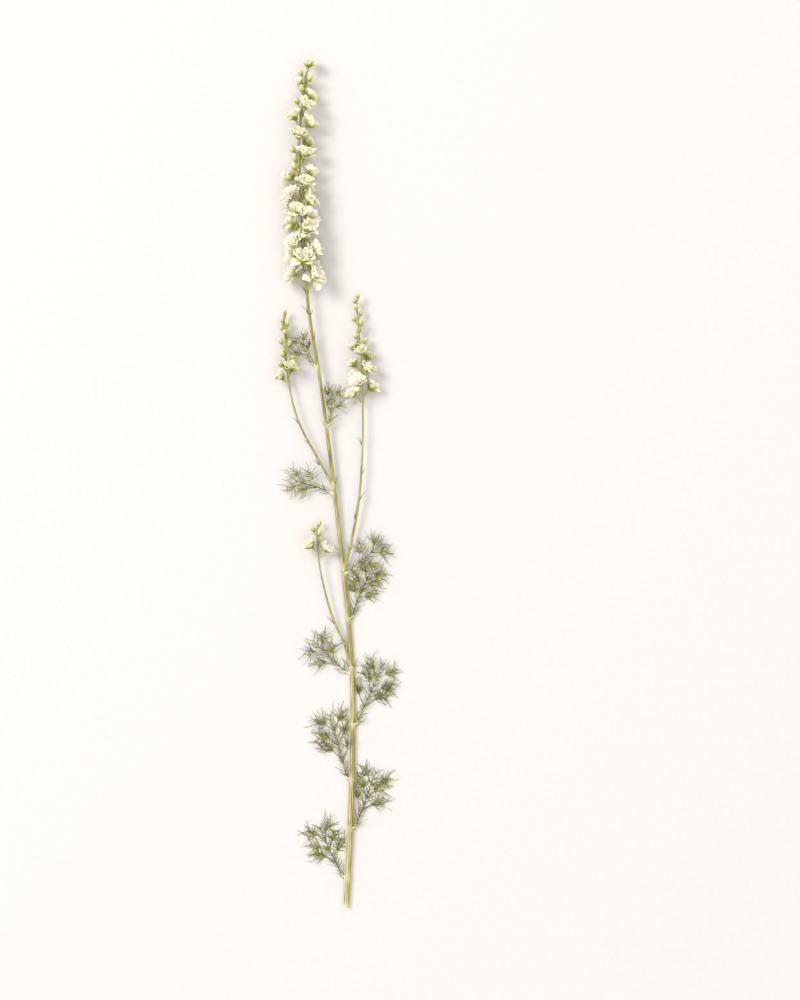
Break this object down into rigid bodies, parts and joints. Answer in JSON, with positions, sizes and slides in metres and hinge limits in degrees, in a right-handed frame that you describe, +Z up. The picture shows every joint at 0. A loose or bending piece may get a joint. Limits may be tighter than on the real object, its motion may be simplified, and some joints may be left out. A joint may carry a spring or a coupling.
{
  "type": "delphinium flower spike",
  "caption": "Dried cut stem of white larkspur, the annual delphinium, lying flat: one long flower spike, side shoots in bud, and thread-like leaves.",
  "frame": {"origin": "centre of the object's box, on the surface that the stem lies on", "axes": "+Y along the stem from its cut end to the tip of the spike, +Z up from the surface, +X to the right as seen from above"},
  "size_m": [0.0956, 0.6552, 0.0267],
  "materials": {
    "stem": "dry, ribbed, straw to olive",
    "leaf": "dry, thread-like, olive",
    "floret": "papery, cream white"
  },
  "bodies": {
    "root": {"floret_01": "floret", "floret_02": "floret", "floret_03": "floret", "floret_04": "floret", "floret_05": "floret", "floret_06": "floret", "floret_07": "floret", "floret_08": "floret", "floret_09": "floret", "floret_10": "floret", "floret_11": "floret", "floret_12": "floret", "floret_13": "floret", "floret_14": "floret", "floret_15": "floret", "floret_16": "floret", "floret_17": "floret", "floret_18": "floret", "floret_19": "floret", "floret_20": "floret", "floret_21": "floret", "floret_22": "floret", "floret_23": "floret", "floret_24": "floret", "floret_25": "floret", "floret_26": "floret", "floret_27": "floret", "floret_28": "floret", "floret_29": "floret", "leaf_01": "leaf", "leaf_02": "leaf", "leaf_03": "leaf", "leaf_04": "leaf", "leaf_05": "leaf", "leaf_06": "leaf", "leaf_07": "leaf", "leaf_08": "leaf", "leaf_09": "leaf", "leaf_10": "leaf", "left_floret_01": "floret", "left_floret_02": "floret", "left_floret_03": "floret", "low_floret_01": "floret", "low_floret_02": "floret", "right_floret_01": "floret", "right_floret_02": "floret", "right_floret_03": "floret", "right_floret_04": "floret", "right_floret_05": "floret", "right_floret_06": "floret", "right_floret_07": "floret", "right_floret_08": "floret", "right_floret_09": "floret", "stem": "stem"}
  },
  "joints": []
}
